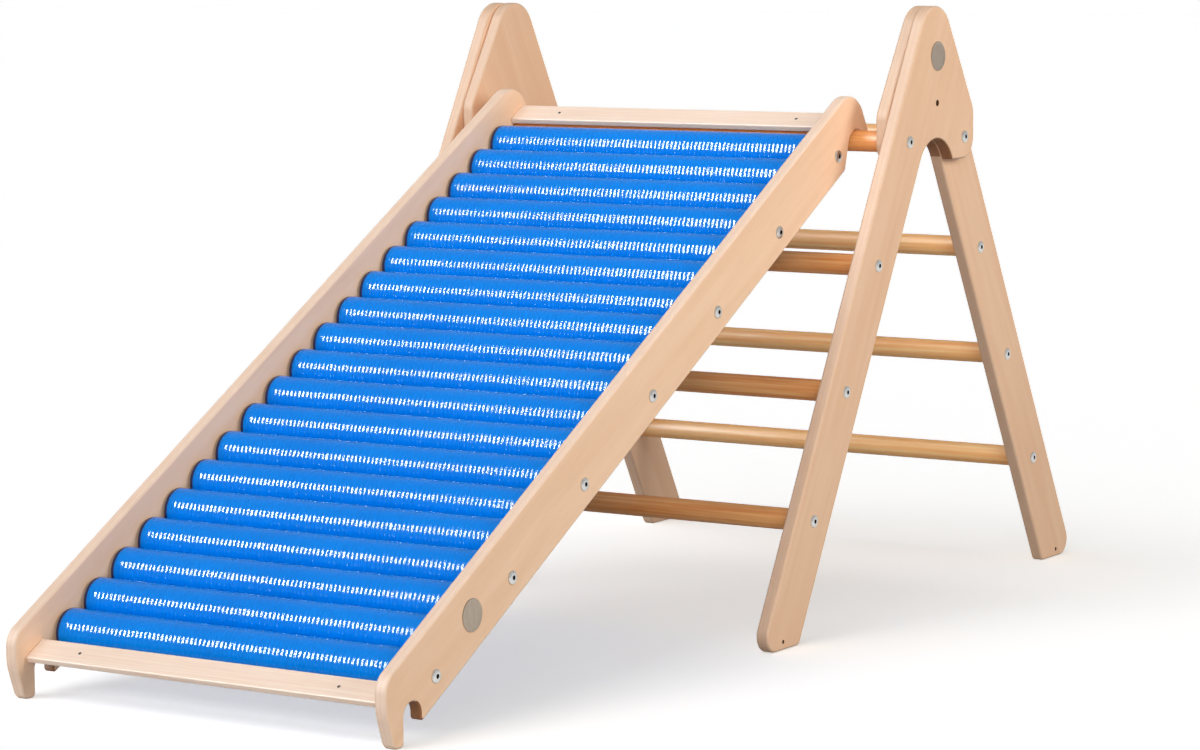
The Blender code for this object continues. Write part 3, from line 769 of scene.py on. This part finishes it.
beech, tree, shader = new_material("pale_beech", Roughness=0.50)
shader.inputs["Specular IOR Level"].default_value = 0.3
place = add_node(tree, "ShaderNodeTexCoord", {})
stretched = add_node(tree, "ShaderNodeMapping", {"Vector": place.outputs["Object"],
                     "Scale": (1 / STRAIGHT_LENGTH, 1 / STRAIGHT_WIDTH, 1 / STRAIGHT_WIDTH)})
streaks = add_node(tree, "ShaderNodeTexNoise", {"Vector": stretched.outputs[0], "Scale": 1.0,
                   "Detail": 3.0, "Roughness": 0.6})
tone = add_node(tree, "ShaderNodeMapRange", {"Value": streaks.outputs["Fac"],
                "From Min": 0.30, "From Max": 0.70})
grained = add_node(tree, "ShaderNodeMix", {MIX_FACTOR: tone.outputs["Result"],
                   MIX_A: colour("#F0D3BD"), MIX_B: colour("#FAE4D2")}, data_type="RGBA")
tree.links.new(grained.outputs[MIX_RESULT], shader.inputs["Base Color"])
relief = add_node(tree, "ShaderNodeBump", {"Height": streaks.outputs["Fac"], "Strength": 0.2,
                  "Distance": 0.0002})
tree.links.new(relief.outputs["Normal"], shader.inputs["Normal"])
print("straight grain in mm:", STRAIGHT_LENGTH * 1000, "by", STRAIGHT_WIDTH * 1000)

# %% Two slats
SLAT_WIDTH, SLAT_THICKNESS, SLAT_EASED = 0.033, 0.008, 0.0018
# Both slats lie this far past the end axles, with their tops at these heights over them
SLAT_BEYOND, BOTTOM_OVER, TOP_OVER = 0.056, 0.0215, 0.016
TILT = Matrix.Rotation(slope, 4, "X")
slat_places = {"bottom_slat": on_slope(-SLAT_BEYOND, BOTTOM_OVER - SLAT_THICKNESS / 2),
               "top_slat": on_slope(slide_length + SLAT_BEYOND, TOP_OVER - SLAT_THICKNESS / 2)}

for node, (y, z) in slat_places.items():
    low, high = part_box(node)
    slat = bmesh.new()
    bmesh.ops.create_cube(slat, size=1)
    bmesh.ops.scale(slat, verts=slat.verts, vec=(high.x - low.x, SLAT_WIDTH, SLAT_THICKNESS))
    bmesh.ops.bevel(slat, geom=slat.edges[:], offset=SLAT_EASED, offset_type="OFFSET", segments=3,
                    profile=0.5, affect="EDGES", material=-1)
    bmesh.ops.transform(slat, verts=slat.verts, matrix=Matrix.Translation((0, y, z)) @ TILT)
    finish_piece(slat, f"{node}_board", [beech], "slide", [node])
    print(node, "length in mm:", round((high.x - low.x) * 1000, 1))

# %% [markdown]
# ## Rollers
# A roller is a length of glossy blue PVC pipe that turns on its axle. The pipe has ripples round
# it from being drawn, 0.3 mm deep. A smooth pipe would mirror the bright tubes as one long line,
# but here only the right-hand flank of each ripple faces them, which makes a row of ticks. Rings
# could be cut into the mesh, but bump from a wave is enough, as the outline stays round.

# %% PVC pipe
RIPPLE = 0.0058
RIPPLE_DEPTH = 0.0003

pvc, tree, shader = new_material("blue_pvc_pipe", Roughness=0.09, IOR=1.54)
shader.inputs["Specular IOR Level"].default_value = 0.1
place = add_node(tree, "ShaderNodeTexCoord", {})
ripples = add_node(tree, "ShaderNodeTexWave", {"Vector": place.outputs["Object"],
                   "Scale": math.pi / (10 * RIPPLE), "Distortion": 0.5, "Detail": 1.0,
                   "Detail Scale": 0.6}, wave_type="BANDS", wave_profile="TRI",
                   bands_direction="X")
tint = add_node(tree, "ShaderNodeTexNoise", {"Vector": place.outputs["Object"], "Scale": 9.0,
                "Detail": 1.0})
dyed = add_node(tree, "ShaderNodeMix", {MIX_FACTOR: tint.outputs["Fac"],
                MIX_A: colour("#0079DE"), MIX_B: colour("#0086EA")}, data_type="RGBA")
tree.links.new(dyed.outputs[MIX_RESULT], shader.inputs["Base Color"])
relief = add_node(tree, "ShaderNodeBump", {"Height": ripples.outputs["Fac"], "Strength": 1.0,
                  "Distance": RIPPLE_DEPTH})
tree.links.new(relief.outputs["Normal"], shader.inputs["Normal"])

# The end caps are moulded, with a fine grit that keeps them dull and nearly black, and their dark
# rim round the end of the pipe is partly painted shade of the gap beside the rail
cap_and_gap_shade, tree, shader = new_material("navy_cap_and_gap_shade", Roughness=0.35)
place = add_node(tree, "ShaderNodeTexCoord", {})
grit = add_node(tree, "ShaderNodeTexNoise", {"Vector": place.outputs["Object"], "Scale": 1200.0})
moulded = add_node(tree, "ShaderNodeMix", {MIX_FACTOR: grit.outputs["Fac"],
                   MIX_A: colour("#0A1B46"), MIX_B: colour("#10265E")}, data_type="RGBA")
tree.links.new(moulded.outputs[MIX_RESULT], shader.inputs["Base Color"])
print("ripples in mm:", RIPPLE * 1000, "long and", RIPPLE_DEPTH * 1000, "deep")


# %% Turning a profile
def turned(profile, sides, centre):
    """Spin a closed chain of (x, radius) points about the X axis through a centre."""
    shape = bmesh.new()
    chain = [shape.verts.new((x, radius, 0)) for x, radius in profile]
    for first, second in zip(chain, chain[1:]):
        shape.edges.new((first, second))
    if profile[0][1] > 0:
        shape.edges.new((chain[-1], chain[0]))
    bmesh.ops.spin(shape, geom=shape.verts[:] + shape.edges[:], cent=(0, 0, 0), axis=(1, 0, 0),
                   angle=math.tau, steps=sides, use_merge=True)
    bmesh.ops.remove_doubles(shape, verts=shape.verts, dist=1e-6)
    bmesh.ops.translate(shape, verts=shape.verts, vec=(0, centre.y, centre.z))
    return shape


# %% Nineteen rollers
ROLLER_RADIUS = 0.026
PIPE_WALL = 0.003
CAP_RECESS = 0.0008
EASED = 0.0016
# The end cap's rim, which covers the end of the pipe, and whose dark navy is partly painted shade
# of the gap beside the rail
CAP_RIM_AND_GAP_SHADE = 0.0045
AXLE_RADIUS = 0.005
BORE_RADIUS = 0.0054
ROLLER_SIDES = 64

for number in range(1, 20):
    node = f"roller_{number:02d}"
    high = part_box(node)[1]
    inside = ROLLER_RADIUS - PIPE_WALL
    half = [(high.x - CAP_RECESS, BORE_RADIUS), (high.x - CAP_RECESS, inside),
            (high.x, inside + EASED / 8), (high.x, ROLLER_RADIUS - EASED),
            (high.x - EASED * 0.08, ROLLER_RADIUS - EASED * 0.6),
            (high.x - EASED * 0.3, ROLLER_RADIUS - EASED * 0.3),
            (high.x - EASED * 0.6, ROLLER_RADIUS - EASED * 0.08), (high.x - EASED, ROLLER_RADIUS),
            (high.x - CAP_RIM_AND_GAP_SHADE, ROLLER_RADIUS)]
    profile = half + [(-x, radius) for x, radius in reversed(half)]
    centre = middle(node)
    roller = turned(profile, ROLLER_SIDES, centre)
    for face in roller.faces:
        from_centre = face.calc_center_median() - centre
        # The cap's recessed end and the dark navy rim round each end of the pipe, partly painted
        # shade
        in_dark_end = from_centre.yz.length < inside - 1e-4 or abs(from_centre.x) > high.x - CAP_RIM_AND_GAP_SHADE
        face.material_index = 1 if in_dark_end else 0
    piece = finish_piece(roller, f"{node}_pipe", [pvc, cap_and_gap_shade], node, [node])
print("rollers: 19, each with", len(piece.data.polygons), "faces")

# %% [markdown]
# ## Steel
# The rollers turn on bright zinc-plated rods. Every third rod is a bolt through both rails, and
# its domed head has a hexagon socket. A turned profile can't make a hexagon, so a head starts
# as a circle that is pushed out, inset to a dome, and squeezed to six sides at the socket.

# %% Zinc-plated steel
steel, tree, shader = new_material("zinc_plated_steel", Metallic=1.0)
place = add_node(tree, "ShaderNodeTexCoord", {})
spangle = add_node(tree, "ShaderNodeTexNoise", {"Vector": place.outputs["Object"],
                   "Scale": 400.0, "Detail": 3.0})
plated = add_node(tree, "ShaderNodeMix", {MIX_FACTOR: spangle.outputs["Fac"],
                  MIX_A: colour("#C4C5C4"), MIX_B: colour("#E2E2DF")}, data_type="RGBA")
tree.links.new(plated.outputs[MIX_RESULT], shader.inputs["Base Color"])
dulled = add_node(tree, "ShaderNodeMapRange", {"Value": spangle.outputs["Fac"], "To Min": 0.20,
                  "To Max": 0.38})
tree.links.new(dulled.outputs["Result"], shader.inputs["Roughness"])

# The slat screws are oiled black, so that they mirror little, and the sockets are painted black as
# painted shade in their recesses, so that they show as dark dots
black_steel_and_socket_shade, tree, shader = new_material("black_steel_with_socket_shade", Metallic=1.0, Roughness=0.5)
place = add_node(tree, "ShaderNodeTexCoord", {})
grit = add_node(tree, "ShaderNodeTexNoise", {"Vector": place.outputs["Object"], "Scale": 900.0})
black_tone = add_node(tree, "ShaderNodeMix", {MIX_FACTOR: grit.outputs["Fac"],
                 MIX_A: colour("#2E2C2A"), MIX_B: colour("#55524E")}, data_type="RGBA")
tree.links.new(black_tone.outputs[MIX_RESULT], shader.inputs["Base Color"])
print("steels:", steel.name, black_steel_and_socket_shade.name)

# %% Domed head with a hexagon socket
HEAD_RADIUS = 0.0075
HEAD_HEIGHT = 0.0024
SOCKET_RADIUS = 0.0029
SOCKET_DEPTH = 0.0018
HEAD_SIDES = 48
RIM_SHARE = 0.35
# Distance inwards and share of the remaining height, from the rim to the flat around the socket
DOME_STEPS = ((0.0004, 0.42), (0.0009, 0.33), (0.0013, 0.17), (0.0012, 0.08))
SOCKET_LAND = 0.0006


def inset_ring(shape, top, thickness, depth):
    """Inset the top face by a thickness, raise it by a depth, and return it."""
    bmesh.ops.inset_region(shape, faces=[top], thickness=thickness, depth=depth,
                           use_even_offset=True)
    return top


def socket_head(shape, placing, size=1.0):
    """Add a domed socket head to a bmesh, standing on the placing matrix's XY plane."""
    head = bmesh.new()
    bmesh.ops.create_circle(head, cap_ends=True, segments=HEAD_SIDES, radius=HEAD_RADIUS)
    rim_height = HEAD_HEIGHT * RIM_SHARE
    top = bmesh.ops.extrude_face_region(head, geom=head.faces[:])
    raised = [item for item in top["geom"] if isinstance(item, bmesh.types.BMVert)]
    bmesh.ops.translate(head, verts=raised, vec=(0, 0, rim_height))
    face = next(item for item in top["geom"] if isinstance(item, bmesh.types.BMFace))
    for thickness, share in DOME_STEPS:
        face = inset_ring(head, face, thickness, (HEAD_HEIGHT - rim_height) * share)
    face = inset_ring(head, face, SOCKET_LAND, 0)
    for vertex in face.verts:
        angle = math.atan2(vertex.co.y, vertex.co.x) % math.radians(60) - math.radians(30)
        reach = SOCKET_RADIUS * math.cos(math.radians(30)) / math.cos(angle)
        flat = Vector((vertex.co.x, vertex.co.y, 0)).normalized() * reach
        vertex.co = (flat.x, flat.y, vertex.co.z)
    # With its edges given too, the extruded face doesn't stay behind as a lid
    sunk = bmesh.ops.extrude_face_region(head, geom=[face, *face.edges])
    lowered = [item for item in sunk["geom"] if isinstance(item, bmesh.types.BMVert)]
    bmesh.ops.translate(head, verts=lowered, vec=(0, 0, -SOCKET_DEPTH))
    # The socket's walls and floor take the black, as painted shade in the recess
    for low_vertex in lowered:
        for wall in low_vertex.link_faces:
            wall.material_index = 1
    bmesh.ops.recalc_face_normals(head, faces=head.faces)
    bmesh.ops.transform(head, verts=head.verts, matrix=placing @ Matrix.Scale(size, 4))
    made = bpy.data.meshes.new("head")
    head.to_mesh(made)
    head.free()
    shape.from_mesh(made)
    bpy.data.meshes.remove(made)


def facing(seat, outward):
    """Return the matrix that stands a head on a seat, facing +X or -X."""
    return Matrix.Translation(seat) @ Matrix.Rotation(math.radians(90 * outward), 4, "Y")


# %% Nineteen axles
ROD_SIDES = 32

for number in range(1, 20):
    node = f"axle_{number:02d}"
    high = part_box(node)[1]
    is_bolt = number % 3 == 1
    end = high.x - HEAD_HEIGHT if is_bolt else high.x
    half = [(end, 0), (end, AXLE_RADIUS)]
    rod = turned(half + [(-x, radius) for x, radius in reversed(half)], ROD_SIDES, middle(node))
    if is_bolt:
        for outward in (1, -1):
            seat = Vector((outward * end, middle(node).y, middle(node).z))
            socket_head(rod, facing(seat, outward))
    finish_piece(rod, f"{node}_rod", [steel, black_steel_and_socket_shade], "slide", [node])
    print(node, "bolt" if is_bolt else "rod", "length in mm:", round(2 * high.x * 1000, 1))

# %% [markdown]
# ## Screws
# The same head holds the hub and the ends of the rungs, and a small blackened one the slats. The
# rungs' screws are only seen as heads, so each one is a head on the face of its plate.

# %% Hub bolts and rung screws
SHANK_RADIUS = 0.004

for ladder in ("front", "rear"):
    for side, outward in (("left", -1), ("right", 1)):
        node = f"{ladder}_hub_bolt_{side}"
        low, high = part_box(node)
        near, far = sorted((abs(low.x), abs(high.x)))
        seat_x = far - HEAD_HEIGHT
        shank = turned([(outward * near, 0), (outward * near, SHANK_RADIUS),
                        (outward * seat_x, SHANK_RADIUS), (outward * seat_x, 0)], ROD_SIDES,
                       middle(node))
        seat = Vector((outward * seat_x, middle(node).y, middle(node).z))
        socket_head(shank, facing(seat, outward))
        finish_piece(shank, f"{node}_screw", [steel, black_steel_and_socket_shade], "triangle", [node])
        plate_low, plate_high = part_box(f"{ladder}_leg_plate_{side}")
        face_x = max(abs(plate_low.x), abs(plate_high.x))
        for number in range(2, 5):
            screw = bmesh.new()
            rung = middle(f"{ladder}_rung_{number}")
            socket_head(screw, facing(Vector((outward * face_x, rung.y, rung.z)), outward))
            finish_piece(screw, f"{ladder}_rung_{number}_screw_{side}", [steel, black_steel_and_socket_shade],
                         "triangle")
        print(node, "shank in mm:", round((seat_x - near) * 1000, 1), "and three rung screws")

# %% Small slat screws
SLAT_SCREW_X = 0.174
SLAT_SCREW_SIZE = 0.25

for node, (y, z) in slat_places.items():
    for side, outward in (("left", -1), ("right", 1)):
        screw = bmesh.new()
        top = Vector((outward * SLAT_SCREW_X, y, z)) + OVER_SLIDE * (SLAT_THICKNESS / 2)
        socket_head(screw, Matrix.Translation(top) @ TILT, SLAT_SCREW_SIZE)
        finish_piece(screw, f"{node}_screw_{side}", [black_steel_and_socket_shade, black_steel_and_socket_shade], "slide")
print("slat screws' heads in mm:", round(2 * HEAD_RADIUS * SLAT_SCREW_SIZE * 1000, 2))

# %% [markdown]
# ## Badges
# A thin steel disc is pinned on the rail and one on the hub. Each is pressed with a raised rim
# and a shallow bead, and its middle is left bare. Brushing leaves fine upright scratches, which
# are drawn as noise stretched 40 times along Z.

# %% Brushed steel
SCRATCH_WIDTH = 0.0006

brushed, tree, shader = new_material("brushed_steel_disc", Metallic=1.0)
place = add_node(tree, "ShaderNodeTexCoord", {})
stretched = add_node(tree, "ShaderNodeMapping", {"Vector": place.outputs["Object"],
                     "Scale": (1 / SCRATCH_WIDTH, 1 / SCRATCH_WIDTH, 1 / (40 * SCRATCH_WIDTH))})
scratches = add_node(tree, "ShaderNodeTexNoise", {"Vector": stretched.outputs[0], "Scale": 1.0,
                     "Detail": 3.0})
worn = add_node(tree, "ShaderNodeMix", {MIX_FACTOR: scratches.outputs["Fac"],
                MIX_A: colour("#958676"), MIX_B: colour("#CBBDAD")}, data_type="RGBA")
tree.links.new(worn.outputs[MIX_RESULT], shader.inputs["Base Color"])
dulled = add_node(tree, "ShaderNodeMapRange", {"Value": scratches.outputs["Fac"], "To Min": 0.30,
                  "To Max": 0.55})
tree.links.new(dulled.outputs["Result"], shader.inputs["Roughness"])
print("scratches in mm:", SCRATCH_WIDTH * 1000, "by", round(40 * SCRATCH_WIDTH * 1000, 1))

# %% Round badges, left bare
BADGE_RADIUS = 0.018
BADGE_SIDES = 64
WALL_SHARE = 0.7
# Distance in from the rim and height as a share of the disc, from the rim to the middle
BADGE_STEPS = ((0.0004, 0.30), (0.0012, 0), (0.0005, -0.35), (0.0030, 0), (0.0004, 0.25),
               (0.0006, 0), (0.0004, -0.25))

for node, body in (("hub_badge", "triangle"), ("rail_badge", "slide")):
    low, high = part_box(node)
    disc = bmesh.new()
    bmesh.ops.create_circle(disc, cap_ends=True, segments=BADGE_SIDES, radius=BADGE_RADIUS)
    raised = bmesh.ops.extrude_face_region(disc, geom=disc.faces[:])
    thickness = high.x - low.x
    wall = thickness * WALL_SHARE
    bmesh.ops.translate(disc, verts=[item for item in raised["geom"]
                                     if isinstance(item, bmesh.types.BMVert)], vec=(0, 0, wall))
    face = next(item for item in raised["geom"] if isinstance(item, bmesh.types.BMFace))
    for inward, share in BADGE_STEPS:
        face = inset_ring(disc, face, inward, thickness * share)
    bmesh.ops.transform(disc, verts=disc.verts,
                        matrix=facing(Vector((low.x, middle(node).y, middle(node).z)), 1))
    finish_piece(disc, f"{node}_disc", [brushed], body, [node])
    print(node, "thickness in mm:", round(thickness * 1000, 2))

# %% Print the dressed box and finish
low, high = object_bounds()
print("dressed box in mm:", [round(side * 1000, 1) for side in high - low])
